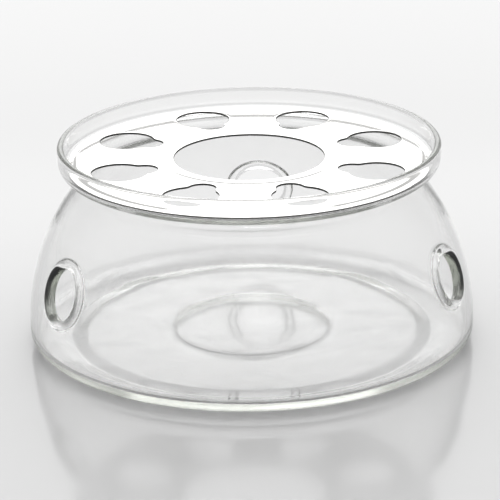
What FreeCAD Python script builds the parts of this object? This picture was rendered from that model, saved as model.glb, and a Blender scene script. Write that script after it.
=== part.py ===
import FreeCAD, Part
import math
import os
import Sketcher

# Round glass warmer for a teapot: a blown glass body with three fused vent rings,
# and a loose pressed steel plate that lies on the ledge inside the body's collar.
# Millimetres and degrees, +Z up, origin at the centre of the base.
# Azimuths are counted from the front (-Y) towards +X.

V = FreeCAD.Vector

os.makedirs("parts", exist_ok=True)
doc = FreeCAD.newDocument("glass_warmer")

# Driving dimensions. ---------------------------------------------------------
sizes = {
    # glass body, outside
    "totalHeight": 61.5,
    "bodyRadius": 67.5,         # widest, at the top of the heel
    "baseRadius": 54.5,         # flat patch that the body stands on
    "footBend": 8.0,            # soft corner between that patch and the sloping sole
    "heelHeight": 5.0,
    "heelBend": 3.2,            # small bend between sole and wall
    "domeRadius": 69.0,         # the wall is one arc of this radius
    "creaseBend": 1.7,          # hollow bend at the neck, outside
    "collarUnderside": 53.2,
    "collarRadius": 57.2,
    "collarBend": 4.2,
    # glass body, inside
    "glassWall": 2.2,
    "glassFloor": 2.2,
    "floorRadius": 49.9,        # where the floor starts to rise into the heel
    "floorBend": 5.0,
    "innerHeelBend": 2.0,
    "innerHeelHeight": 6.0,     # height of that bend's centre
    "recessRadius": 23.0,       # shallow seat that keeps a tealight central
    "recessDepth": 0.5,
    "recessSlope": 3.6,         # width of the rounded shoulder down to the seat
    "seatBend": 1.0,            # corner between the ledge and the collar wall
    # vent rings, each made by hand and a little different
    "ventBoreLeft": 14.9,       # clear diameter
    "ventBoreRight": 13.4,
    "ventBoreBack": 15.8,
    "ventRingWidth": 3.2,
    "ventRingDepth": 3.4,
    "ventSetback": 0.3,         # ring centre inside the middle of the wall
    "ventAzimuthLeft": -59.0,
    "ventAzimuthRight": 65.6,
    "ventAzimuthBack": 177.0,
    "ventSlopeLeft": 17.4,      # tilt of each ring above the horizontal
    "ventSlopeRight": 18.4,
    "ventSlopeBack": 17.6,
    # steel plate
    "plateRadius": 54.0,
    "plateSheet": 0.6,
    "plateHeight": 1.1,         # from the ledge to the top of the raised ring
    "plateBorder": 1.4,         # flat border that rests on the ledge
    "borderSlope": 1.2,         # width of the step up from that border
    "centreRadius": 26.4,       # middle of the step round the sunk centre
    "centreSlope": 2.8,         # width of that step
    "centreDrop": 0.3,
    "plateHole": 22.6,          # radius of the central hole
    "openingCount": 8,
    "openingStart": 20.6,       # azimuth of the first pear-shaped opening
    "lobeOuterRadius": 8.3,
    "lobeOuterCentre": 40.8,
    "lobeInnerRadius": 4.2,
    "lobeInnerCentre": 33.1,
    "waistRadius": 3.0,
}

sheet = doc.addObject("Spreadsheet::Sheet", "dims")
for row, (name, value) in enumerate(sizes.items(), start=1):
    sheet.set(f"A{row}", name)
    sheet.set(f"B{row}", str(value))
    sheet.setAlias(f"B{row}", name)
doc.recompute()


# Sketch helpers. -------------------------------------------------------------
def plane_of(body, role):
    """The body's own origin plane with this role."""
    return next(item for item in body.Origin.OriginFeatures if item.Role == role)


def new_sketch(body, name, role):
    """An empty sketch on one of the body's origin planes."""
    sketch = body.newObject("Sketcher::SketchObject", name)
    sketch.AttachmentSupport = [(plane_of(body, role), "")]
    sketch.MapMode = "FlatFace"
    return sketch


def point_on(centre, radius, angle):
    """The point of a circle at this angle, in degrees from the sketch's x axis."""
    turn = math.radians(angle)
    return V(centre.x + radius * math.cos(turn), centre.y + radius * math.sin(turn), 0)


class Outline:
    """A chain of lines and arcs in a sketch, closed back to its first piece."""

    def __init__(self, sketch, start):
        self.sketch = sketch
        self.here = start
        self.pieces = []        # (geometry number, end it starts at, end it stops at, smooth)

    def line(self, end, smooth=False):
        number = self.sketch.addGeometry(Part.LineSegment(self.here, end), False)
        self.pieces.append((number, 1, 2, smooth))
        self.here = end
        return number

    def arc(self, centre, end, clockwise=False, smooth=True):
        circle = Part.Circle(centre, V(0, 0, 1), (end - centre).Length)
        first, last = (end, self.here) if clockwise else (self.here, end)
        shape = Part.ArcOfCircle(circle, circle.parameter(first), circle.parameter(last))
        number = self.sketch.addGeometry(shape, False)
        starts, stops = (2, 1) if clockwise else (1, 2)
        self.pieces.append((number, starts, stops, smooth))
        self.here = end
        return number

    def close(self):
        """Joins each piece to the one before it, smoothly where it was asked for."""
        for before, piece in zip([self.pieces[-1]] + self.pieces[:-1], self.pieces):
            number, starts, _, smooth = piece
            kind = "Tangent" if smooth else "Coincident"
            self.sketch.addConstraint(Sketcher.Constraint(kind, before[0], before[2], number, starts))


def bind(sketch, kind, places, value, formula):
    """A dimension of the sketch that follows a formula of the sheet's cells."""
    number = sketch.addConstraint(Sketcher.Constraint(kind, *places, value))
    sketch.setExpression(f"Constraints[{number}]", formula)


def across(sketch, number, end, value, formula):
    """Holds a point's distance from the sketch's y axis."""
    bind(sketch, "DistanceX", (-1, 1, number, end), value, formula)


def up(sketch, number, end, value, formula):
    """Holds a point's height above the sketch's x axis."""
    bind(sketch, "DistanceY", (-1, 1, number, end), value, formula)


def level(sketch, *lines):
    for number in lines:
        sketch.addConstraint(Sketcher.Constraint("Horizontal", number))


def upright(sketch, *lines):
    for number in lines:
        sketch.addConstraint(Sketcher.Constraint("Vertical", number))


def turned(body, sketch, name, kind="PartDesign::Revolution"):
    """The sketch turned once round its own y axis."""
    feature = body.newObject(kind, name)
    feature.Profile = sketch
    feature.ReferenceAxis = (sketch, ["V_Axis"])
    feature.Angle = 360.0
    doc.recompute()
    return feature


def reach(far, near, drop):
    """Horizontal leg of a right triangle, or of one such triangle less another."""
    return math.sqrt((far + near) ** 2 - drop ** 2)


def sole_ends(first, first_radius, second, second_radius):
    """Where the line under two circles touches each of them."""
    gap = second - first
    slope = math.atan2(gap.y, gap.x) + math.asin((first_radius - second_radius) / gap.Length)
    down = V(math.sin(slope), -math.cos(slope), 0)
    return first + down * first_radius, second + down * second_radius


# Glass body. -----------------------------------------------------------------
def shell_outline(sketch):
    """Section of the blown wall, right of the axis: outside going up, inside going down."""
    d = sizes
    dome = V(d["bodyRadius"] - d["domeRadius"], d["heelHeight"], 0)
    wall = d["glassWall"]

    # the straight sole touches the bend at the foot and the bend at the heel
    foot = V(d["baseRadius"], d["footBend"], 0)
    bend = V(d["bodyRadius"] - d["heelBend"], d["heelHeight"], 0)
    foot_end, heel_joint = sole_ends(foot, d["footBend"], bend, d["heelBend"])

    # the neck's bend, outside and inside, shares one centre
    crease_z = d["collarUnderside"] - d["creaseBend"]
    crease_run = reach(d["domeRadius"], d["creaseBend"], crease_z - dome.y)
    crease = V(dome.x + crease_run, crease_z, 0)
    to_crease = (crease - dome).normalize()
    neck_out = dome + to_crease * d["domeRadius"]
    neck_in = dome + to_crease * (d["domeRadius"] - wall)

    # the same inside, where the floor starts to rise sooner
    rise = V(d["floorRadius"], d["glassFloor"] + d["floorBend"], 0)
    inner = V(0, d["innerHeelHeight"], 0)
    inner.x = dome.x + reach(d["domeRadius"] - wall, -d["innerHeelBend"], inner.y - dome.y)
    inner_top = inner + (inner - dome).normalize() * d["innerHeelBend"]
    rise_end, inner_joint = sole_ends(rise, d["floorBend"], inner, d["innerHeelBend"])

    ledge = d["collarUnderside"] + wall
    rim_z = d["totalHeight"] - wall / 2
    inside = d["collarRadius"] - wall
    collar = V(d["collarRadius"] - d["collarBend"], d["collarUnderside"] + d["collarBend"], 0)
    seat = V(inside - d["seatBend"], ledge + d["seatBend"], 0)
    recess_out = d["recessRadius"] + d["recessSlope"]
    recess_z = d["glassFloor"] - d["recessDepth"]
    shoulder_radius = (d["recessSlope"] ** 2 + d["recessDepth"] ** 2) / (2 * d["recessDepth"])
    shoulder = V(recess_out, d["glassFloor"] - shoulder_radius, 0)

    path = Outline(sketch, V(0, 0, 0))
    base = path.line(V(d["baseRadius"], 0, 0))
    toe = path.arc(foot, foot_end)
    path.line(heel_joint, smooth=True)
    heel = path.arc(bend, V(d["bodyRadius"], d["heelHeight"], 0))
    wall_out = path.arc(dome, neck_out)
    hollow = path.arc(crease, V(crease.x, d["collarUnderside"], 0), clockwise=True)
    under = path.line(V(collar.x, d["collarUnderside"], 0), smooth=True)
    flare = path.arc(collar, V(d["collarRadius"], collar.y, 0))
    collar_out = path.line(V(d["collarRadius"], rim_z, 0), smooth=True)
    rim = path.arc(V(d["collarRadius"] - wall / 2, rim_z, 0), V(inside, rim_z, 0))
    collar_in = path.line(V(inside, seat.y, 0), smooth=True)
    corner = path.arc(seat, V(seat.x, ledge, 0), clockwise=True)
    shelf = path.line(V(crease.x, ledge, 0), smooth=True)
    lip = path.arc(crease, neck_in)
    wall_in = path.arc(dome, inner_top, clockwise=True)
    inner_heel = path.arc(inner, inner_joint, clockwise=True)
    path.line(rise_end, smooth=True)
    floor_bend = path.arc(rise, V(d["floorRadius"], d["glassFloor"], 0), clockwise=True)
    floor = path.line(V(recess_out, d["glassFloor"], 0), smooth=True)
    rounded = path.arc(shoulder, V(d["recessRadius"], recess_z, 0))
    recess = path.line(V(0, recess_z, 0))
    axis = path.line(V(0, 0, 0))
    path.close()

    level(sketch, base, under, shelf, floor, recess)
    upright(sketch, collar_out, collar_in, axis)
    sketch.addConstraint(Sketcher.Constraint("Coincident", base, 1, -1, 1))
    across(sketch, base, 2, d["baseRadius"], "dims.baseRadius")
    across(sketch, heel, 2, d["bodyRadius"], "dims.bodyRadius")
    up(sketch, heel, 2, d["heelHeight"], "dims.heelHeight")
    up(sketch, wall_out, 3, d["heelHeight"], "dims.heelHeight")
    up(sketch, under, 2, d["collarUnderside"], "dims.collarUnderside")
    up(sketch, shelf, 2, ledge, "dims.collarUnderside + dims.glassWall")
    across(sketch, collar_out, 2, d["collarRadius"], "dims.collarRadius")
    across(sketch, collar_in, 1, inside, "dims.collarRadius - dims.glassWall")
    up(sketch, rim, 3, rim_z, "dims.totalHeight - dims.glassWall / 2")
    up(sketch, inner_heel, 3, inner.y, "dims.innerHeelHeight")
    across(sketch, floor, 1, d["floorRadius"], "dims.floorRadius")
    up(sketch, floor, 1, d["glassFloor"], "dims.glassFloor")
    across(sketch, floor, 2, recess_out, "dims.recessRadius + dims.recessSlope")
    across(sketch, recess, 1, d["recessRadius"], "dims.recessRadius")
    up(sketch, recess, 1, recess_z, "dims.glassFloor - dims.recessDepth")
    for arc, name in ((toe, "footBend"), (heel, "heelBend"), (wall_out, "domeRadius"),
                      (hollow, "creaseBend"), (flare, "collarBend"), (corner, "seatBend"),
                      (inner_heel, "innerHeelBend"), (floor_bend, "floorBend")):
        bind(sketch, "Radius", (arc,), d[name], f"dims.{name}")
    for inside_arc, outside_arc in ((lip, hollow), (wall_in, wall_out)):
        sketch.addConstraint(Sketcher.Constraint("Coincident", inside_arc, 3, outside_arc, 3))


def vent_sketch(body, name, side):
    """A sketch whose y axis is the vent's own axis, with its origin at the ring's centre."""
    sketch = new_sketch(body, name, "XZ_Plane")
    middle = "(dims.domeRadius - dims.glassWall / 2 - dims.ventSetback)"
    out = f"(dims.bodyRadius - dims.domeRadius + {middle} * cos(dims.ventSlope{side} * 1deg))"
    height = f"(dims.heelHeight + {middle} * sin(dims.ventSlope{side} * 1deg))"
    turn = f"(dims.ventAzimuth{side} - 90)"
    spot = f"vector({out} * cos({turn} * 1deg); {height}; -{out} * sin({turn} * 1deg))"
    about = f"rotation(vector(0; 1; 0); {turn})"
    tilt = f"rotation(vector(0; 0; 1); dims.ventSlope{side} - 90)"
    sketch.setExpression("AttachmentOffset", f"placement({spot}; {about} * {tilt})")
    return sketch


def vent_opening(body, side):
    """Cuts the wall back to the middle of the ring that will be fused there."""
    sketch = vent_sketch(body, f"vent_cut_{side}", side)
    radius = (sizes[f"ventBore{side}"] + sizes["ventRingWidth"]) / 2
    half = 3 * sizes["glassWall"]
    path = Outline(sketch, V(0, -half, 0))
    low = path.line(V(radius, -half, 0))
    side_line = path.line(V(radius, half, 0))
    high = path.line(V(0, half, 0))
    axis = path.line(V(0, -half, 0))
    path.close()
    level(sketch, low, high)
    upright(sketch, side_line, axis)
    across(sketch, axis, 1, 0, "0")
    across(sketch, low, 2, radius, f"(dims.ventBore{side} + dims.ventRingWidth) / 2")
    up(sketch, high, 2, half, "3 * dims.glassWall")
    up(sketch, low, 1, -half, "-3 * dims.glassWall")
    turned(body, sketch, f"vent_cut_turn_{side}", "PartDesign::Groove")


def vent_ring(body, side):
    """The thick fire-polished ring: a round-ended section turned round the vent's axis."""
    sketch = vent_sketch(body, f"vent_ring_{side}", side)
    inner = sizes[f"ventBore{side}"] / 2
    end = sizes["ventRingWidth"] / 2
    half = sizes["ventRingDepth"] / 2 - end
    path = Outline(sketch, V(inner, half, 0))
    bore = path.line(V(inner, -half, 0), smooth=True)
    bottom = path.arc(V(inner + end, -half, 0), V(inner + 2 * end, -half, 0))
    outside = path.line(V(inner + 2 * end, half, 0), smooth=True)
    top = path.arc(V(inner + end, half, 0), V(inner, half, 0))
    path.close()
    upright(sketch, bore, outside)
    across(sketch, bore, 1, inner, f"dims.ventBore{side} / 2")
    bind(sketch, "Radius", (bottom,), end, "dims.ventRingWidth / 2")
    up(sketch, top, 3, half, "(dims.ventRingDepth - dims.ventRingWidth) / 2")
    up(sketch, bottom, 3, -half, "-(dims.ventRingDepth - dims.ventRingWidth) / 2")
    turned(body, sketch, f"vent_ring_turn_{side}")


def make_glass_body():
    body = doc.addObject("PartDesign::Body", "glass_body")
    body.Label = "glass_body"
    section = new_sketch(body, "shell_section", "XZ_Plane")
    shell_outline(section)
    turned(body, section, "shell")
    for side in ("Left", "Right", "Back"):
        vent_opening(body, side)
        vent_ring(body, side)
    return body


# Steel plate. ----------------------------------------------------------------
def plate_outline(sketch):
    """Section of the pressed sheet: sunk centre, raised ring and a flat border to lie on."""
    d = sizes
    thick = d["plateSheet"]
    foot = d["collarUnderside"] + d["glassWall"]
    top = foot + d["plateHeight"]
    sunk = top - d["centreDrop"]
    step_in = d["centreRadius"] - d["centreSlope"] / 2
    step_out = d["centreRadius"] + d["centreSlope"] / 2
    border = d["plateRadius"] - d["plateBorder"]
    raised = border - d["borderSlope"]
    foot_formula = "dims.collarUnderside + dims.glassWall"
    top_formula = f"{foot_formula} + dims.plateHeight"

    path = Outline(sketch, V(d["plateHole"], sunk - thick, 0))
    centre_low = path.line(V(step_in, sunk - thick, 0))
    path.line(V(step_out, top - thick, 0))
    ring_low = path.line(V(raised, top - thick, 0))
    path.line(V(border, foot, 0))
    border_low = path.line(V(d["plateRadius"], foot, 0))
    rim = path.line(V(d["plateRadius"], foot + thick, 0))
    border_high = path.line(V(border, foot + thick, 0))
    path.line(V(raised, top, 0))
    ring_high = path.line(V(step_out, top, 0))
    path.line(V(step_in, sunk, 0))
    centre_high = path.line(V(d["plateHole"], sunk, 0))
    hole = path.line(V(d["plateHole"], sunk - thick, 0))
    path.close()

    level(sketch, centre_low, ring_low, border_low, border_high, ring_high, centre_high)
    upright(sketch, rim, hole)
    across(sketch, hole, 2, d["plateHole"], "dims.plateHole")
    across(sketch, rim, 1, d["plateRadius"], "dims.plateRadius")
    up(sketch, centre_low, 1, sunk - thick, f"{top_formula} - dims.centreDrop - dims.plateSheet")
    up(sketch, centre_high, 1, sunk, f"{top_formula} - dims.centreDrop")
    up(sketch, ring_low, 1, top - thick, f"{top_formula} - dims.plateSheet")
    up(sketch, ring_high, 1, top, top_formula)
    up(sketch, border_low, 1, foot, foot_formula)
    up(sketch, border_high, 1, foot + thick, f"{foot_formula} + dims.plateSheet")
    for line, end in ((centre_low, 2), (centre_high, 1)):
        across(sketch, line, end, step_in, "dims.centreRadius - dims.centreSlope / 2")
    for line, end in ((ring_low, 1), (ring_high, 2)):
        across(sketch, line, end, step_out, "dims.centreRadius + dims.centreSlope / 2")
    for line, end in ((ring_low, 2), (ring_high, 1)):
        across(sketch, line, end, raised, "dims.plateRadius - dims.plateBorder - dims.borderSlope")
    for line, end in ((border_low, 1), (border_high, 2)):
        across(sketch, line, end, border, "dims.plateRadius - dims.plateBorder")


def opening_outline(sketch):
    """Pear-shaped opening, wide end outwards: two lobes joined by hollow waists."""
    d = sizes
    turn = "rotation(vector(0; 0; 1); dims.openingStart - 90)"
    sketch.setExpression("AttachmentOffset", f"placement(vector(0; 0; 0); {turn})")
    big, small, waist = d["lobeOuterRadius"], d["lobeInnerRadius"], d["waistRadius"]
    outer = V(d["lobeOuterCentre"], 0, 0)
    inner = V(d["lobeInnerCentre"], 0, 0)
    gap = outer.x - inner.x
    far, near = big + waist, small + waist
    back = (gap ** 2 + far ** 2 - near ** 2) / (2 * gap)
    left = V(outer.x - back, math.sqrt(far ** 2 - back ** 2), 0)
    right = V(left.x, -left.y, 0)
    out_left = outer + (left - outer).normalize() * big
    in_left = inner + (left - inner).normalize() * small
    out_right = V(out_left.x, -out_left.y, 0)
    in_right = V(in_left.x, -in_left.y, 0)

    path = Outline(sketch, out_right)
    wide = path.arc(outer, out_left)
    waist_left = path.arc(left, in_left, clockwise=True)
    narrow = path.arc(inner, in_right)
    waist_right = path.arc(right, out_right, clockwise=True)
    path.close()
    for arc, place, name in ((wide, outer.x, "lobeOuter"), (narrow, inner.x, "lobeInner")):
        bind(sketch, "Radius", (arc,), d[f"{name}Radius"], f"dims.{name}Radius")
        across(sketch, arc, 3, place, f"dims.{name}Centre")
        sketch.addConstraint(Sketcher.Constraint("PointOnObject", arc, 3, -1))
    for arc in (waist_left, waist_right):
        bind(sketch, "Radius", (arc,), waist, "dims.waistRadius")


def make_steel_plate():
    body = doc.addObject("PartDesign::Body", "steel_plate")
    body.Label = "steel_plate"
    section = new_sketch(body, "plate_section", "XZ_Plane")
    plate_outline(section)
    sheet_turn = turned(body, section, "pressed_sheet")
    outline = new_sketch(body, "opening_outline", "XY_Plane")
    opening_outline(outline)
    opening = body.newObject("PartDesign::Pocket", "opening")
    opening.Profile = outline
    opening.Type = "ThroughAll"
    opening.Reversed = True
    doc.recompute()
    pattern = body.newObject("PartDesign::PolarPattern", "openings")
    pattern.Originals = [opening]
    pattern.Axis = (outline, ["N_Axis"])
    pattern.Angle = 360.0
    pattern.setExpression("Occurrences", "dims.openingCount")
    body.Tip = pattern
    doc.recompute()
    print("plate sheet", round(sheet_turn.Shape.Volume, 1), "with openings", round(body.Shape.Volume, 1))
    return body


# Check and write. ------------------------------------------------------------
parts = [make_glass_body(), make_steel_plate()]
doc.recompute()

for item in doc.Objects:
    if "Invalid" in item.State or "Error" in item.State:
        raise RuntimeError(f"{item.Label} failed: {item.State}")
for sketch in doc.findObjects("Sketcher::SketchObject"):
    print(sketch.Label, "fully constrained:", sketch.FullyConstrained)
for part in parts:
    shape = part.Shape
    if shape.isNull() or not shape.isValid():
        raise RuntimeError(f"{part.Label} has no valid shape")
    if len(shape.Solids) != 1:
        raise RuntimeError(f"{part.Label} is {len(shape.Solids)} solids")
    box = shape.BoundBox
    print(part.Label, "volume", round(shape.Volume, 1), "box", round(box.XMin, 3), round(box.XMax, 3),
          round(box.YMin, 3), round(box.YMax, 3), round(box.ZMin, 3), round(box.ZMax, 3))
    shape.exportStep(f"parts/{part.Label}.step")
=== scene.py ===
import math

import bpy
import numpy as np
from mathutils import Matrix, Vector


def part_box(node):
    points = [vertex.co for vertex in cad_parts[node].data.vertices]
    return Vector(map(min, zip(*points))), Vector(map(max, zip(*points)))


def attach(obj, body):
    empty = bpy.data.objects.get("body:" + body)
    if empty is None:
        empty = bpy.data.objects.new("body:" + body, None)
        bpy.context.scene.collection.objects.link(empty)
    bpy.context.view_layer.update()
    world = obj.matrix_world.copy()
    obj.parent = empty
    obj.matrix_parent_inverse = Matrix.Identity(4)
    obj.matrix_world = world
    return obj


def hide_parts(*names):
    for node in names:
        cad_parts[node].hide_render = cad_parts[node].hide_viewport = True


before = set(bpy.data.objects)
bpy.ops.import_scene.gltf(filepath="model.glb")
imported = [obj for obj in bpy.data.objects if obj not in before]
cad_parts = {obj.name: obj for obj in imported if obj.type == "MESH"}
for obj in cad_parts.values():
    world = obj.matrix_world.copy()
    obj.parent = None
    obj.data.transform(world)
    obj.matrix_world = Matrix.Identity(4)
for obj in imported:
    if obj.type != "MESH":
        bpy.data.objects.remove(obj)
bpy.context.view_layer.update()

mm = 0.001
glassHigh = np.array(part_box("glass_body")[1])       # far corner of the glass body's box
plateLow, plateHigh = (np.array(corner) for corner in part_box("steel_plate"))


def putMesh(name, points, faces, smooth=True):
    # points is an n x 3 array, faces a list of index arrays, each k x 3 or k x 4;
    # points that no face uses are dropped
    used = np.unique(np.concatenate([part.ravel() for part in faces]))
    place = np.zeros(len(points), dtype=np.int64)
    place[used] = np.arange(len(used))
    loops = np.concatenate([place[part].ravel() for part in faces])
    counts = np.concatenate([np.full(len(part), part.shape[1]) for part in faces])
    starts = np.concatenate([[0], np.cumsum(counts)[:-1]])
    mesh = bpy.data.meshes.new(name)
    mesh.vertices.add(len(used))
    mesh.vertices.foreach_set("co", points[used].astype(np.float32).ravel())
    mesh.loops.add(len(loops))
    mesh.loops.foreach_set("vertex_index", loops.astype(np.int32))
    mesh.polygons.add(len(counts))
    mesh.polygons.foreach_set("loop_start", starts.astype(np.int32))
    mesh.update(calc_edges=True)
    mesh.validate()
    mesh.polygons.foreach_set("use_smooth", np.full(len(counts), smooth))
    piece = bpy.data.objects.new(name, mesh)
    bpy.context.scene.collection.objects.link(piece)
    return piece


def arcPath(centre, start, end, count, clockwise=False):
    # centre plus radius times (cos, sin) of an angle that runs evenly from start to end
    centre, start, end = (np.array(point, dtype=float) for point in (centre, start, end))
    first = math.atan2(*(start - centre)[::-1])
    last = math.atan2(*(end - centre)[::-1])
    if clockwise and last > first:
        last -= 2 * math.pi
    if not clockwise and last < first:
        last += 2 * math.pi
    turn = np.linspace(first, last, count + 1)
    radius = np.linalg.norm(start - centre)
    return centre + radius * np.stack([np.cos(turn), np.sin(turn)], axis=1)


def slopePath(start, end, count, shape):
    # radius runs evenly from start to end, height runs as shape says for a share of 0 to 1
    share = np.linspace(0, 1, count + 1)
    radius = start[0] + (end[0] - start[0]) * share
    height = start[1] + (end[1] - start[1]) * shape(share)
    return np.stack([radius, height], axis=1)


def linePath(start, end, count):
    # start times (1 - share) plus end times share
    share = np.linspace(0, 1, count + 1)[:, None]
    return np.array(start) * (1 - share) + np.array(end) * share


def joinPaths(paths):
    # each path starts where the one before it ends, so that point is taken once
    return np.concatenate([paths[0]] + [path[1:] for path in paths[1:]])


def turnOutline(outline, columns, start=0):
    # each outline point goes round the z axis: x = r cos a, y = r sin a, with a counted from start
    turn = start + np.arange(columns) * 2 * math.pi / columns
    radius, height = outline[:, 0][:, None], outline[:, 1][:, None]
    return np.stack([radius * np.cos(turn), radius * np.sin(turn), height + 0 * turn], axis=2)


def loopFaces(index):
    # quads between neighbouring closed loops; each row of index holds one loop's point numbers
    following = np.roll(index, -1, axis=1)
    return np.stack([index[:-1], following[:-1], following[1:], index[1:]], axis=2)


def unit(vectors):
    # each vector over its own length
    return vectors / np.linalg.norm(vectors, axis=-1, keepdims=True)


def fromFront(azimuth):
    # degrees counted from the front, as radians counted from the x axis
    return math.radians(azimuth - 90)


# The blown glass body. Its height and widest radius come from the glass body's box in model.glb.
glassBody = dict(
    columns=288,                # steps round the z axis
    baseRadius=54.5 * mm,       # flat patch that the body stands on
    footBend=8.0 * mm,          # soft corner between that patch and the sloping sole
    heelHeight=5.0 * mm,
    heelBend=3.2 * mm,
    domeRadius=69.0 * mm,       # the wall is one arc of this radius
    creaseBend=1.7 * mm,        # hollow bend at the neck
    collarUnderside=53.2 * mm,
    collarRadius=57.2 * mm,
    collarBend=4.2 * mm,
    wall=2.2 * mm,
    floor=2.2 * mm,
    floorRadius=49.9 * mm,      # where the floor starts to rise into the heel
    floorBend=5.0 * mm,
    innerHeelBend=2.0 * mm,
    innerHeelHeight=6.0 * mm,   # height of that bend's centre
    recessRadius=23.0 * mm,     # shallow seat that keeps a tealight central
    recessDepth=0.5 * mm,
    recessSlope=3.6 * mm,       # width of the shoulder down to the seat
    seatBend=1.0 * mm,          # corner between the ledge and the collar
)

# The vent rings, fused into the wall. Azimuths are counted from the front and tilts from level,
# in degrees. Each ring was made by hand, so no two are the same.
vents = dict(
    places=(
        dict(azimuth=-59.0, tilt=17.4, bore=14.9 * mm),
        dict(azimuth=65.6, tilt=18.4, bore=13.4 * mm),
        dict(azimuth=177.0, tilt=17.6, bore=15.8 * mm),
    ),
    width=3.2 * mm,
    depth=3.4 * mm,
    setback=0.3 * mm,           # how far a ring's centre lies inside the middle of the wall
    half=15.6 * mm,             # half of the square of wall that each vent takes
    blend=0.4 * mm,             # how far the fused joint spreads past the ring
    pull=1.1,                   # how full the joint's bend is
    sectionStart=-52,           # part of the ring's section that stands clear of the joint, in degrees
    sectionEnd=196,
    wallRows=6,                 # steps along the wall, round each joint and round the ring's section
    bendRows=6,
    ringRows=30,
)


def besideDome(dome, reach, height):
    # the point at this height whose distance from the dome's centre is reach
    return np.array([dome[0] + math.sqrt(reach ** 2 - (height - dome[1]) ** 2), height])


def soleLine(foot, footBend, heel, heelBend):
    # Ends of the line that touches both circles from below: its slope is that of the line of
    # centres, plus the arcsine of the difference of the radii over the centres' distance.
    run, rise = heel - foot
    slope = math.atan2(rise, run) + math.asin((footBend - heelBend) / math.hypot(run, rise))
    lean = np.array([math.sin(slope), -math.cos(slope)])
    return foot + lean * footBend, heel + lean * heelBend


def glassOutline(b):
    # Section of the wall from the middle of the base, up the outside, over the rim and down the
    # inside to the middle of the floor: arcs and lines that meet at tangents.
    # Returns the points, the first and last row of each run, and the dome's centre.
    bodyRadius, _, top = glassHigh
    wall, floor, under = b["wall"], b["floor"], b["collarUnderside"]
    outside, inside = b["collarRadius"], b["collarRadius"] - wall
    domeIn = b["domeRadius"] - wall
    ledge = under + wall
    rimHeight = top - wall / 2
    recessHeight = floor - b["recessDepth"]
    recessOut = b["recessRadius"] + b["recessSlope"]

    dome = np.array([bodyRadius - b["domeRadius"], b["heelHeight"]])
    heel = np.array([bodyRadius - b["heelBend"], b["heelHeight"]])
    foot = np.array([b["baseRadius"], b["footBend"]])
    crease = besideDome(dome, b["domeRadius"] + b["creaseBend"], under - b["creaseBend"])
    flare = np.array([outside - b["collarBend"], under + b["collarBend"]])
    seat = np.array([inside - b["seatBend"], ledge + b["seatBend"]])
    innerHeel = besideDome(dome, domeIn - b["innerHeelBend"], b["innerHeelHeight"])
    innerFoot = np.array([b["floorRadius"], floor + b["floorBend"]])

    neck = unit(crease - dome)
    neckOut, neckIn = dome + neck * b["domeRadius"], dome + neck * domeIn
    soleStart, soleEnd = soleLine(foot, b["footBend"], heel, b["heelBend"])
    innerSoleEnd, innerSoleStart = soleLine(innerFoot, b["floorBend"], innerHeel, b["innerHeelBend"])
    innerTop = innerHeel + unit(innerHeel - dome) * b["innerHeelBend"]
    heelTop = (bodyRadius, b["heelHeight"])

    runs = dict(        # the whole number in each run is how many steps it takes
        base=linePath((0, 0), (foot[0], 0), 8),
        foot=arcPath(foot, (foot[0], 0), soleStart, 5),
        sole=linePath(soleStart, soleEnd, 6),
        heel=arcPath(heel, soleEnd, heelTop, 10),
        domeOut=arcPath(dome, heelTop, neckOut, 44),
        crease=arcPath(crease, neckOut, (crease[0], under), 12, clockwise=True),
        under=linePath((crease[0], under), (flare[0], under), 2),
        flare=arcPath(flare, (flare[0], under), (outside, flare[1]), 12),
        collarOut=linePath((outside, flare[1]), (outside, rimHeight), 4),
        rim=arcPath((outside - wall / 2, rimHeight), (outside, rimHeight), (inside, rimHeight), 14),
        collarIn=linePath((inside, rimHeight), (inside, seat[1]), 4),
        corner=arcPath(seat, (inside, seat[1]), (seat[0], ledge), 8, clockwise=True),
        shelf=linePath((seat[0], ledge), (crease[0], ledge), 3),
        lip=arcPath(crease, (crease[0], ledge), neckIn, 14),
        domeIn=arcPath(dome, neckIn, innerTop, 42, clockwise=True),
        innerHeel=arcPath(innerHeel, innerTop, innerSoleStart, 10, clockwise=True),
        innerSole=linePath(innerSoleStart, innerSoleEnd, 6),
        innerFoot=arcPath(innerFoot, innerSoleEnd, (innerFoot[0], floor), 5, clockwise=True),
        floor=linePath((innerFoot[0], floor), (recessOut, floor), 6),
        step=slopePath((recessOut, floor), (b["recessRadius"], recessHeight), 8, np.square),
        recess=linePath((b["recessRadius"], recessHeight), (0, recessHeight), 6),
    )
    marks, row = {}, 0
    for name, path in runs.items():
        marks[name] = (row, row + len(path) - 1)
        row += len(path) - 1
    return joinPaths(list(runs.values())), marks, dome


def domePoint(dome, radius, turn, climb):
    # turn is the azimuth round z, climb the angle up the dome's arc:
    # distance from the z axis = the arc centre's + radius cos climb, height = its + radius sin climb
    reach = dome[0] + radius * np.cos(climb)
    return np.stack([reach * np.cos(turn), reach * np.sin(turn), dome[1] + radius * np.sin(climb)], axis=-1)


def ventFrame(dome, v, place, middle):
    # The ring's centre on the arc of radius middle, and its three directions: outwards along that
    # radius, sideways, and upwards along the wall. ringRadius goes from the bore's axis to the
    # middle of the section.
    turn, climb = fromFront(place["azimuth"]), math.radians(place["tilt"])
    out = np.array([math.cos(climb) * math.cos(turn), math.cos(climb) * math.sin(turn), math.sin(climb)])
    side = np.array([-math.sin(turn), math.cos(turn), 0])
    return dict(
        turn=turn, climb=climb, out=out, side=side, rise=np.cross(out, side),
        centre=domePoint(dome, middle, turn, climb),
        ringRadius=(place["bore"] + v["width"]) / 2)


def windowRows(mark, climbs, vent, span):
    # the two rows of one dome arc that lie nearest span below and span above the vent's climb
    rows = np.arange(mark[0], mark[1] + 1)
    return [rows[np.argmin(np.abs(climbs[rows] - (vent["climb"] + way * span)))] for way in (-1, 1)]


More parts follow.
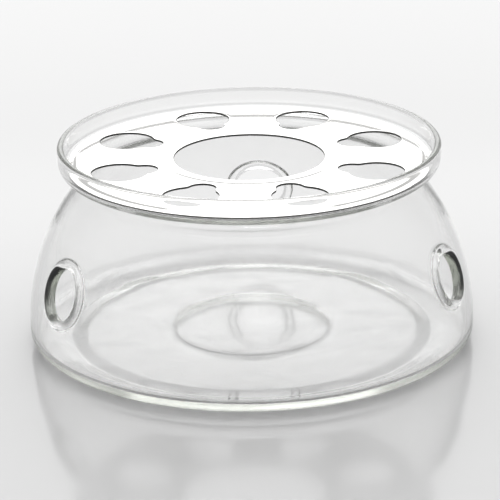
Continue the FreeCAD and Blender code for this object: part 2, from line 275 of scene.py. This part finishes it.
def windowLoop(low, high, left, right):
    # Rows and columns round a window of the wall: along the bottom, up the right side, back along
    # the top and down the left side. The rows of the inner face run downwards.
    way = 1 if high > low else -1
    rows, columns = np.arange(low, high, way), np.arange(left, right)
    wide, tall = np.ones(len(columns), dtype=int), np.ones(len(rows), dtype=int)
    return (np.concatenate([low * wide, rows, high * wide, rows[::-1] + way]),
            np.concatenate([columns, right * tall, columns[::-1] + 1, left * tall]))


def onWall(dome, radius, vent, sideways, upwards):
    # Turn and climb of the wall points at these distances from the vent's axis. Each pass moves a
    # point by what it still lacks, over the wall's two radii there.
    reach = dome[0] + radius * math.cos(vent["climb"])
    turns = vent["turn"] + sideways / reach
    climbs = vent["climb"] + upwards / radius
    passes = 12             # enough for every point to settle
    for _ in range(passes):
        off = domePoint(dome, radius, turns, climbs) - vent["centre"]
        turns = turns + (sideways - off @ vent["side"]) / reach
        climbs = climbs + (upwards - off @ vent["rise"]) / radius
    return turns, climbs


def wallPatch(v, dome, radius, vent, rim, turns, climbs):
    # Loops of wall points in even steps of turn and climb, from the window's rim to the circle
    # round the ring where its fused joint begins. Returns the angle of each point of the rim
    # round the vent's axis, and the loops.
    joint = vent["ringRadius"] + v["width"] / 2 + v["blend"]
    off = rim - vent["centre"]
    angle = np.arctan2(off @ vent["rise"], off @ vent["side"])
    jointTurns, jointClimbs = onWall(dome, radius, vent, joint * np.cos(angle), joint * np.sin(angle))
    t = np.linspace(0, 1, v["wallRows"] + 1)[1:, None]
    wallTurns = turns * (1 - t) + jointTurns * t
    wallClimbs = climbs * (1 - t) + jointClimbs * t
    return angle, domePoint(dome, radius, wallTurns, wallClimbs)


def ringSection(v, vent, angle, around):
    # Points of the ring and their direction of travel. angle goes round the bore. around goes round
    # the section, 0 at its outward top, 90 degrees in the bore and 180 inside the body:
    # distance from the axis = ring radius - half width x sin, height = half depth x cos.
    halfWidth, halfDepth = v["width"] / 2, v["depth"] / 2
    flat = np.cos(angle)[..., None] * vent["side"] + np.sin(angle)[..., None] * vent["rise"]
    distance = vent["ringRadius"] - halfWidth * np.sin(around)
    height = halfDepth * np.cos(around)
    points = vent["centre"] + distance[..., None] * flat + height[..., None] * vent["out"]
    travel = (-halfWidth * np.cos(around)[..., None] * flat
              - halfDepth * np.sin(around)[..., None] * vent["out"])
    return points, unit(travel)


def bendPath(start, end, leave, arrive, v):
    # Cubic from start to end that sets out along leave and comes in along arrive, both as long as
    # the gap times the pull.
    reach = np.linalg.norm(end - start, axis=1, keepdims=True) * v["pull"]
    t = np.linspace(0, 1, v["bendRows"] + 1)[1:, None, None]
    return ((2 * t ** 3 - 3 * t ** 2 + 1) * start + (t ** 3 - 2 * t ** 2 + t) * (leave * reach)
            + (3 * t ** 2 - 2 * t ** 3) * end + (t ** 3 - t ** 2) * (arrive * reach))


def ventSheet(v, vent, outer, inner):
    # Loops of points from the outer window along the wall, round the ring and back along the inner
    # face. outer and inner are what wallPatch returns for the two faces.
    (angleOut, wallOut), (angleIn, wallIn) = outer, inner
    start, end = math.radians(v["sectionStart"]), math.radians(v["sectionEnd"])
    share = np.linspace(0, 1, v["ringRows"] + 1)[:, None]
    around = np.linspace(start, end, v["ringRows"] + 1)[:, None]
    lag = (angleIn - angleOut + math.pi) % (2 * math.pi) - math.pi
    angle = angleOut + lag * share
    ring, travel = ringSection(v, vent, angle, around + 0 * angle)
    joinOut = bendPath(wallOut[-1], ring[0], unit(wallOut[-1] - wallOut[-2]), travel[0], v)
    joinIn = bendPath(ring[-1], wallIn[-1], travel[-1], unit(wallIn[-2] - wallIn[-1]), v)
    return np.concatenate([wallOut, joinOut, ring[1:], joinIn, wallIn[-2::-1]])


def closePoles(quads, columns, lastRow, lowPole, highPole):
    # the first and last loop lie on the axis, so their quads become triangles round one point
    low = quads[:, 0] < columns
    high = quads[:, 3] >= lastRow * columns
    lowPart, highPart = quads[low], quads[high]
    return [
        quads[~(low | high)],
        np.stack([np.full(len(lowPart), lowPole), lowPart[:, 2], lowPart[:, 3]], axis=1),
        np.stack([highPart[:, 0], highPart[:, 1], np.full(len(highPart), highPole)], axis=1)]


def makeGlassBody(b, v):
    # The outline is turned round z. Each vent opens a window in both faces of the dome and fills it
    # with a sheet that runs from the outer window over the ring to the inner one.
    outline, marks, dome = glassOutline(b)
    columnCount = b["columns"]
    step = 2 * math.pi / columnCount
    body = turnOutline(outline, columnCount).reshape(-1, 3)
    quads = loopFaces(np.arange(len(body)).reshape(-1, columnCount))
    keep = np.ones(quads.shape[:2], dtype=bool)
    climbs = np.arctan2(outline[:, 1] - dome[1], outline[:, 0] - dome[0])
    middle = b["domeRadius"] - b["wall"] / 2 - v["setback"]

    points, faces, count = [body], [], len(body)
    for place in v["places"]:
        vent = ventFrame(dome, v, place, middle)
        spanTurn = v["half"] / (dome[0] + middle * math.cos(vent["climb"]))
        left, right = (int(round((vent["turn"] + way * spanTurn) / step)) for way in (-1, 1))
        outLow, outHigh = windowRows(marks["domeOut"], climbs, vent, v["half"] / middle)
        _, inHigh = windowRows(marks["domeIn"], climbs, vent, v["half"] / middle)
        inLow = inHigh + outHigh - outLow       # as many rows inside as outside
        edges, ends = [], []
        for low, high, radius in ((outLow, outHigh, b["domeRadius"]),
                                  (inLow, inHigh, b["domeRadius"] - b["wall"])):
            keep[min(low, high):max(low, high), np.arange(left, right) % columnCount] = False
            rows, columns = windowLoop(low, high, left, right)
            edge = rows * columnCount + columns % columnCount
            edges.append(edge[None])
            ends.append(wallPatch(v, dome, radius, vent, body[edge], columns * step, climbs[rows]))
        sheet = ventSheet(v, vent, *ends)
        inSheet = count + np.arange(sheet[..., 0].size).reshape(sheet.shape[:2])
        faces.append(loopFaces(np.concatenate([edges[0], inSheet, edges[1]])).reshape(-1, 4))
        points.append(sheet.reshape(-1, 3))
        count += inSheet.size

    points.append(np.array([[0, 0, outline[0, 1]], [0, 0, outline[-1, 1]]]))
    kept = quads.reshape(-1, 4)[keep.ravel()]
    kept, *poles = closePoles(kept, columnCount, len(outline) - 1, count, count + 1)
    return putMesh("glassBody", np.concatenate(points), [kept] + faces + poles)


glass = makeGlassBody(glassBody, vents)
print("glass body", len(glass.data.polygons), "faces")


# The pressed steel plate. Its radius, foot and top come from the steel plate's box in model.glb.
steelPlate = dict(
    sheet=0.6 * mm,
    border=1.4 * mm,            # flat border that rests on the glass ledge
    borderSlope=1.2 * mm,       # width of the step up from that border
    centreRadius=26.4 * mm,     # middle of the step round the sunk centre
    centreSlope=2.8 * mm,
    centreDrop=0.3 * mm,
    hole=22.6 * mm,
    openings=8,
    start=20.6,                 # azimuth of the first opening, in degrees
    lobeOuter=(40.8 * mm, 8.3 * mm),        # distance from the plate's centre, and radius
    lobeInner=(33.1 * mm, 4.2 * mm),
    waist=3.0 * mm,             # radius of the hollows between the two lobes
    rayShift=1.6 * mm,          # how far inside the wide lobe's centre the opening's rays start
    cutEdge=0.08 * mm,          # small rounding of every cut edge
    gap=0.04 * mm,              # hair of air between the border and the glass
    innerMargin=0.3 * mm,       # flat left between the sectors and the two steps
    outerMargin=0.4 * mm,
    weld=0.002 * mm,            # points that round to the same multiple of this become one
    sectorColumns=36,           # steps along a sector's arcs and along its sides
    sectorRows=24,
    faceRows=8,                 # steps across the sector's face, and round each cut edge
    bendRows=4,
    marginRows=2,               # steps along the sections of the centre and the border
    stepRows=8,
    flatRows=5,
    sideRows=2,
)


def easeWave(share):
    # half a cosine wave, level at both ends
    return 0.5 - 0.5 * np.cos(np.pi * share)


def circleCrossing(origin, direction, centre, radius, side):
    # distance along each ray to the circle: the far crossing for side 1, the near one for side -1
    off = origin - centre
    along = direction @ off
    inside = along ** 2 - (off @ off - radius ** 2)
    root = np.sqrt(np.maximum(inside, 0))
    return np.where(inside > 0, -along + side * root, np.nan)


def pearDistance(p, origin, angle):
    # Distance from origin to the opening's outline along each angle, where angle 0 points away from
    # the plate's centre. The outline is the wide lobe, then the hollow circle that touches both
    # lobes, then the narrow lobe.
    (outerAt, big), (innerAt, small) = p["lobeOuter"], p["lobeInner"]
    outer, inner = np.array([outerAt, 0]), np.array([innerAt, 0])
    waist = p["waist"]
    gap, far, near = outerAt - innerAt, big + waist, small + waist
    back = (gap ** 2 + far ** 2 - near ** 2) / (2 * gap)
    hollow = np.array([outerAt - back, math.sqrt(far ** 2 - back ** 2)])
    outJoint = outer + (hollow - outer) * big / far         # where the hollow touches each lobe
    inJoint = inner + (hollow - inner) * small / near
    outAngle, inAngle = (math.atan2(joint[1], joint[0] - origin[0]) for joint in (outJoint, inJoint))

    direction = np.stack([np.cos(angle), np.abs(np.sin(angle))], axis=-1)
    onOuter = circleCrossing(origin, direction, outer, big, 1)
    onInner = circleCrossing(origin, direction, inner, small, 1)
    onHollow = circleCrossing(origin, direction, hollow, waist, -1)
    turn = np.abs((angle + math.pi) % (2 * math.pi) - math.pi)
    return np.where(turn <= outAngle, onOuter, np.where(turn >= inAngle, onInner, onHollow))


def sectorBorder(p, half, innerEdge, outerEdge):
    # closed border of one sector, in x and y: the outer arc, one side, the inner arc, the other side
    columns, rows = p["sectorColumns"], p["sectorRows"]
    across = np.linspace(-half, half, columns + 1)
    along = np.linspace(innerEdge, outerEdge, rows + 1)
    radius = np.concatenate([
        np.full(columns, outerEdge), along[:0:-1], np.full(columns, innerEdge), along[:-1]])
    turn = np.concatenate([
        across[:-1], np.full(rows, half), across[:0:-1], np.full(rows, -half)])
    return np.stack([radius * np.cos(turn), radius * np.sin(turn)], axis=1)


def openingSector(p, border, top):
    # Loops of points from the sector's border over the top face to the opening, round its cut edge
    # in two quarter circles, and back underneath.
    cut, low = p["cutEdge"], top - p["sheet"]
    origin = np.array([p["lobeOuter"][0] - p["rayShift"], 0])
    angle = np.arctan2(border[:, 1], border[:, 0] - origin[0])
    ray = np.stack([np.cos(angle), np.sin(angle)], axis=1)
    lead = origin + ray * pearDistance(p, origin, angle)[:, None] + ray * cut
    share = np.linspace(0, 1, p["faceRows"] + 1)[:, None, None]
    bend = np.linspace(0, math.pi / 2, p["bendRows"] + 1)[1:, None, None]
    face = border * (1 - share) + lead * share
    rounded = lead - ray * cut * np.sin(bend)
    drop = cut * (1 - np.cos(bend))

    def atHeight(flat, height):
        return np.concatenate([flat, height + 0 * flat[..., :1]], axis=-1)

    return np.concatenate([atHeight(face, top), atHeight(rounded, top - drop),
                           atHeight(rounded, low + drop)[::-1], atHeight(face, low)[::-1]])


def edgeSection(p, join, stepStart, stepEnd, edge, height, edgeHeight, thick):
    # Section from the sectors to a cut edge and back on the other face: flat, eased step, flat,
    # quarter circle, side of the sheet, and the same again the other way. thick is negative
    # where the way back is below.
    near = edge + math.copysign(p["cutEdge"], stepEnd - edge)
    bend = math.copysign(p["cutEdge"], thick)
    back, edgeBack = height + thick, edgeHeight + thick
    return joinPaths([
        linePath((join, height), (stepStart, height), p["marginRows"]),
        slopePath((stepStart, height), (stepEnd, edgeHeight), p["stepRows"], easeWave),
        linePath((stepEnd, edgeHeight), (near, edgeHeight), p["flatRows"]),
        arcPath((near, edgeHeight + bend), (near, edgeHeight), (edge, edgeHeight + bend), p["bendRows"]),
        linePath((edge, edgeHeight + bend), (edge, edgeBack - bend), p["sideRows"]),
        arcPath((near, edgeBack - bend), (edge, edgeBack - bend), (near, edgeBack), p["bendRows"]),
        linePath((near, edgeBack), (stepEnd, edgeBack), p["flatRows"]),
        slopePath((stepEnd, edgeBack), (stepStart, back), p["stepRows"], easeWave),
        linePath((stepStart, back), (join, back), p["marginRows"])])


def makeSteelPlate(p):
    # One sector for each opening, all spun from the first, between the turned sections of the sunk
    # centre and the border. Faces down a cut edge get the second material, whose near-black
    # colour is painted shade.
    top, foot, radius = plateHigh[2], plateLow[2], plateHigh[0]
    thick = p["sheet"]
    half = math.pi / p["openings"]
    firstTurn = fromFront(p["start"])
    stepIn = p["centreRadius"] - p["centreSlope"] / 2
    stepOut = p["centreRadius"] + p["centreSlope"] / 2
    borderIn = radius - p["border"]
    raisedOut = borderIn - p["borderSlope"]
    innerEdge, outerEdge = stepOut + p["innerMargin"], raisedOut - p["outerMargin"]

    sheets = []     # loops of points, with the first row of faces down a cut edge and the first past it
    sector = openingSector(p, sectorBorder(p, half, innerEdge, outerEdge), top)
    sectorCut = (p["faceRows"], p["faceRows"] + 2 * p["bendRows"] + 1)
    for number in range(p["openings"]):
        turn = firstTurn + number * 2 * half
        spin = np.array([
            [math.cos(turn), math.sin(turn), 0],
            [-math.sin(turn), math.cos(turn), 0],
            [0, 0, 1]])
        sheets.append(((sector.reshape(-1, 3) @ spin).reshape(sector.shape), sectorCut))
    centre = edgeSection(p, innerEdge, stepOut, stepIn, p["hole"], top, top - p["centreDrop"], -thick)
    border = edgeSection(p, outerEdge, raisedOut, borderIn, radius, top - thick, foot + p["gap"], thick)
    cutStart = p["marginRows"] + p["stepRows"] + p["flatRows"]
    sectionCut = (cutStart, cutStart + 2 * p["bendRows"] + p["sideRows"])
    for section in (centre, border):
        ring = turnOutline(section, p["sectorColumns"] * p["openings"], firstTurn - half)
        sheets.append((ring, sectionCut))

    points, faces, cuts, count = [], [], [], 0
    for loops, (cutFirst, cutEnd) in sheets:
        index = count + np.arange(loops[..., 0].size).reshape(loops.shape[:2])
        quads = loopFaces(index)
        cut = np.zeros(quads.shape[:2], dtype=np.int32)
        cut[cutFirst:cutEnd] = 1
        points.append(loops.reshape(-1, 3))
        faces.append(quads.reshape(-1, 4))
        cuts.append(cut.ravel())
        count += index.size
    points, faces = np.concatenate(points), np.concatenate(faces)
    grid = np.round(points / p["weld"]).astype(np.int64)
    _, chosen, same = np.unique(grid, axis=0, return_index=True, return_inverse=True)
    piece = putMesh("steelPlate", points[chosen], [same.ravel()[faces]])
    piece.data.polygons.foreach_set("material_index", np.concatenate(cuts))
    return piece


plate = makeSteelPlate(steelPlate)
print("steel plate", len(plate.data.polygons), "faces")


# Finishes. The pressed floor of the glass is wavier and duller than its blown wall, and both fade
# out between the two radii of floorFade.
glassFinish = dict(
    colour=(1, 1, 1, 1),
    ior=1.473,                  # index of refraction of borosilicate glass
    tint=(0.825, 0.85, 0.79, 1),
    density=8,
    waveScale=45,
    waveDetail=1,
    waveStrength=0.05,
    floorFade=(0.051, 0.059),
    floorWaves=8,               # times the waves of the wall
    floorRoughness=0.11,
)
steelFinish = dict(
    colour=(0.70, 0.695, 0.68, 1),
    roughness=0.06,
    waveScale=30,
    waveDetail=2,
    waveStrength=0.02,
    cutShadeColour=(0.075, 0.075, 0.07, 1),      # painted shade: the sheared edges are coloured near black; they are also duller
    cutMetal=0.6,
    cutRoughness=0.42,
)
tableFinish = dict(
    colour=(0.6, 0.6, 0.6, 1),
    roughness=0.12,
    ior=1.3,
)


def newMaterial(name, sockets):
    # one Principled shader with these sockets set
    material = bpy.data.materials.new(name)
    material.use_nodes = True
    tree = material.node_tree
    tree.nodes.clear()
    output = tree.nodes.new("ShaderNodeOutputMaterial")
    shader = tree.nodes.new("ShaderNodeBsdfPrincipled")
    for socket, value in sockets.items():
        shader.inputs[socket].default_value = value
    tree.links.new(shader.outputs["BSDF"], output.inputs["Surface"])
    return material, tree, shader, output


def addWaves(tree, shader, finish, share=None):
    # noise on the piece's own coordinates raises the surface; share, where given, multiplies it
    place = tree.nodes.new("ShaderNodeTexCoord")
    waves = tree.nodes.new("ShaderNodeTexNoise")
    waves.inputs["Scale"].default_value = finish["waveScale"]
    waves.inputs["Detail"].default_value = finish["waveDetail"]
    bump = tree.nodes.new("ShaderNodeBump")
    bump.inputs["Strength"].default_value = finish["waveStrength"]
    bump.inputs["Distance"].default_value = mm
    tree.links.new(place.outputs["Object"], waves.inputs["Vector"])
    height = waves.outputs["Fac"]
    if share is not None:
        product = tree.nodes.new("ShaderNodeMath")
        product.operation = "MULTIPLY"
        tree.links.new(height, product.inputs[0])
        tree.links.new(share, product.inputs[1])
        height = product.outputs["Value"]
    tree.links.new(height, bump.inputs["Height"])
    tree.links.new(bump.outputs["Normal"], shader.inputs["Normal"])


def floorShare(tree, finish, inside, outside):
    # inside within the first fade radius from the z axis, outside past the second
    place = tree.nodes.new("ShaderNodeTexCoord")
    flat = tree.nodes.new("ShaderNodeVectorMath")
    flat.operation = "MULTIPLY"
    flat.inputs[1].default_value = (1, 1, 0)
    radius = tree.nodes.new("ShaderNodeVectorMath")
    radius.operation = "LENGTH"
    fade = tree.nodes.new("ShaderNodeMapRange")
    fade.inputs["From Min"].default_value, fade.inputs["From Max"].default_value = finish["floorFade"]
    fade.inputs["To Min"].default_value = inside
    fade.inputs["To Max"].default_value = outside
    tree.links.new(place.outputs["Object"], flat.inputs[0])
    tree.links.new(flat.outputs["Vector"], radius.inputs[0])
    tree.links.new(radius.outputs["Value"], fade.inputs["Value"])
    return fade.outputs["Result"]


def clearGlass(finish):
    material, tree, shader, output = newMaterial("clearGlass", {
        "Base Color": finish["colour"], "Transmission Weight": 1, "IOR": finish["ior"]})
    absorb = tree.nodes.new("ShaderNodeVolumeAbsorption")
    absorb.inputs["Color"].default_value = finish["tint"]
    absorb.inputs["Density"].default_value = finish["density"]
    tree.links.new(absorb.outputs["Volume"], output.inputs["Volume"])
    tree.links.new(floorShare(tree, finish, finish["floorRoughness"], 0), shader.inputs["Roughness"])
    addWaves(tree, shader, finish, share=floorShare(tree, finish, finish["floorWaves"], 1))
    return material


def polishedSteel(finish):
    material, tree, shader, _ = newMaterial("polishedSteel", {
        "Base Color": finish["colour"], "Metallic": 1, "Roughness": finish["roughness"]})
    addWaves(tree, shader, finish)
    return material


# material of the cut edges: its near-black colour is painted shade; its lower metal and higher roughness
# are the duller sheared steel
def shadedCutSteel(finish):
    return newMaterial("shadedCutSteel", {
        "Base Color": finish["cutShadeColour"], "Metallic": finish["cutMetal"],
        "Roughness": finish["cutRoughness"]})[0]


def paleTable(finish):
    return newMaterial("paleTable", {
        "Base Color": finish["colour"], "Roughness": finish["roughness"], "IOR": finish["ior"]})[0]


glass.data.materials.append(clearGlass(glassFinish))
plate.data.materials.append(polishedSteel(steelFinish))
# second slot: the cut edges, painted near black as shade
plate.data.materials.append(shadedCutSteel(steelFinish))
for piece, node in ((glass, "glass_body"), (plate, "steel_plate")):
    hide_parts(node)
    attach(piece, node)
print("finishes set on", glass.name, "and", plate.name)


# The table and the light round it, in metres and watts.
tableSize = dict(
    half=3.0,
    height=-0.15 * mm,          # glass never quite touches what it stands on
)
room = dict(
    grey=0.77,                  # strength of the white surroundings
    bounces=40,                 # thick glass needs long paths, or its edges go black
)
lamps = dict(
    backLight=dict(place=(0, 2.2, 0.93), aim=(0, 0, 0.1), width=1.6, height=1.15, power=6.3),
    backCentre=dict(place=(0, 2.15, 1.0), aim=(0, 0, 0.1), width=1.1, height=0.7, power=1.65),
    highLight=dict(place=(0, 1.5, 1.75), aim=(0, 0, 0), width=1.8, height=0.9, power=8.0),
    topLight=dict(place=(0, 0, 1.9), aim=(0, 0, 0), width=1.5, height=1.5, power=7.5),
)
view = dict(
    distance=0.70,
    elevation=20.0,             # degrees above the table
    aimHeight=26.4 * mm,
    lens=166.3,                 # focal length and sensor width, in millimetres
    sensor=36,
    roll=-0.96,                 # degrees about the line of sight
    shift=-0.0014,              # sideways, as a share of the picture's width
    nearest=0.01,               # anything closer than this is not seen
)


def makeTable(size):
    half, height = size["half"], size["height"]
    corners = np.array([[x * half, y * half, height] for x, y in ((-1, -1), (1, -1), (1, 1), (-1, 1))])
    table = putMesh("table", corners, [np.array([[0, 1, 2, 3]])], smooth=False)
    table.data.materials.append(paleTable(tableFinish))


def softLight(name, place, aim, width, height, power):
    # a rectangle at place that faces aim
    data = bpy.data.lights.new(name, "AREA")
    data.shape = "RECTANGLE"
    data.size, data.size_y = width, height
    data.energy = power
    light = bpy.data.objects.new(name, data)
    light.location = place
    light.rotation_euler = (Vector(aim) - Vector(place)).to_track_quat("-Z", "Y").to_euler()
    bpy.context.scene.collection.objects.link(light)


def setRoom(r):
    scene = bpy.context.scene
    scene.world = bpy.data.worlds.new("studio")
    scene.world.use_nodes = True
    background = scene.world.node_tree.nodes["Background"]
    background.inputs["Color"].default_value = (1, 1, 1, 1)
    background.inputs["Strength"].default_value = r["grey"]
    scene.view_settings.view_transform = "Standard"
    scene.cycles.max_bounces = r["bounces"]
    scene.cycles.glossy_bounces = r["bounces"]
    scene.cycles.transmission_bounces = r["bounces"]


def makeCamera(c):
    # stands in front at this distance and elevation, looks at a point on the z axis, and is rolled
    # a little about its own line of sight
    data = bpy.data.cameras.new("camera")
    data.lens = c["lens"]
    data.sensor_width = c["sensor"]
    data.shift_x = c["shift"]
    data.clip_start = c["nearest"]
    camera = bpy.data.objects.new("camera", data)
    tilt = math.radians(c["elevation"])
    aim = Vector((0, 0, c["aimHeight"]))
    camera.location = aim + c["distance"] * Vector((0, -math.cos(tilt), math.sin(tilt)))
    towards = (aim - camera.location).to_track_quat("-Z", "Y").to_matrix().to_4x4()
    camera.rotation_euler = (towards @ Matrix.Rotation(math.radians(c["roll"]), 4, "Z")).to_euler()
    bpy.context.scene.collection.objects.link(camera)
    bpy.context.scene.camera = camera


makeTable(tableSize)
for name, lamp in lamps.items():
    softLight(name, **lamp)
setRoom(room)
makeCamera(view)
print("table,", len(lamps), "lights and camera set")
